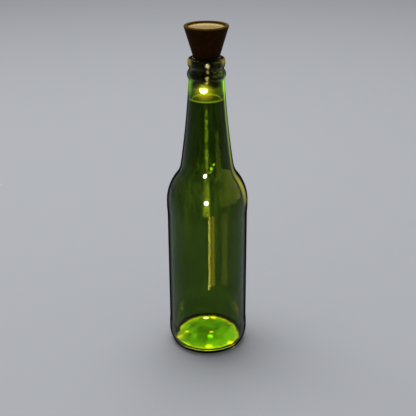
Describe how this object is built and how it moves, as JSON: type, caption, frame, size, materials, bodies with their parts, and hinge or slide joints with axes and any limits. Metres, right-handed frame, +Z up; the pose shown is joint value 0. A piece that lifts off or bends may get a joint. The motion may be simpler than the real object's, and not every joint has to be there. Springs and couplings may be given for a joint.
{
  "type": "cork bottle light",
  "caption": "Cork-shaped solar lamp stopper, tapered with a round top panel and a ribbed plug, standing in the mouth of a green glass long-neck bottle that it lights from within.",
  "frame": {"origin": "centre of the bottle's bearing ring, on the surface that it stands on", "axes": "+Z up along the bottle's axis; +X to the right of the picture, towards the switch side of the plug; the picture looks along +Y"},
  "size_m": [0.061, 0.061, 0.2513],
  "materials": {
    "green_glass": "smooth bottle green",
    "shell_plastic": "dark cork brown, satin",
    "window_resin": "clear amber potting resin",
    "cell_silicon": "dark bronze thin-film cells",
    "backing_board": "tan glass-fibre board",
    "gasket_foam": "black foam",
    "board_laminate": "green circuit board",
    "plated_steel": "nickel plated",
    "chip_epoxy": "black moulding",
    "coil_enamel": "pale green dip",
    "can_aluminium": "bare can",
    "battery_sleeve": "green shrink sleeve",
    "wire_red": "red insulation",
    "wire_black": "black insulation",
    "plug_plastic": "natural white moulding",
    "sleeve_silicone": "dark brown silicone",
    "lamp_resin": "water clear",
    "lamp_phosphor": "yellow phosphor",
    "slider_plastic": "black"
  },
  "bodies": {
    "bottle": {"bottle": "green_glass"},
    "stopper": {"stopper_shell": "shell_plastic", "solar_window": "window_resin", "solar_cells": "cell_silicon", "solar_backing": "backing_board", "panel_gasket": "gasket_foam", "circuit_board": "board_laminate", "board_screws": "plated_steel", "controller_chip": "chip_epoxy", "inductor": "coil_enamel", "capacitor": "can_aluminium", "plug_shaft": "plug_plastic", "seal_sleeve": "sleeve_silicone", "end_cap": "plug_plastic", "lamp_leads": "plated_steel", "lamp_phosphor": "lamp_phosphor", "lamp_lens": "lamp_resin", "switch_housing": "plated_steel", "switch_terminals": "plated_steel", "battery_cell": "battery_sleeve", "battery_tabs": "plated_steel", "lamp_wires": "wire_red", "switch_wire": "wire_black", "battery_wire": "wire_red", "panel_wires": "wire_black"},
    "switch_slider": {"switch_slider": "slider_plastic"}
  },
  "joints": [
    {"name": "stopper_lift", "type": "slide", "parent": "bottle", "child": "stopper", "axis": [0, 0, 1], "range_m": [0, 0.03]},
    {"name": "switch_slide", "type": "slide", "parent": "stopper", "child": "switch_slider", "axis": [0, 1, 0], "range_m": [0, 0.0015]}
  ]
}
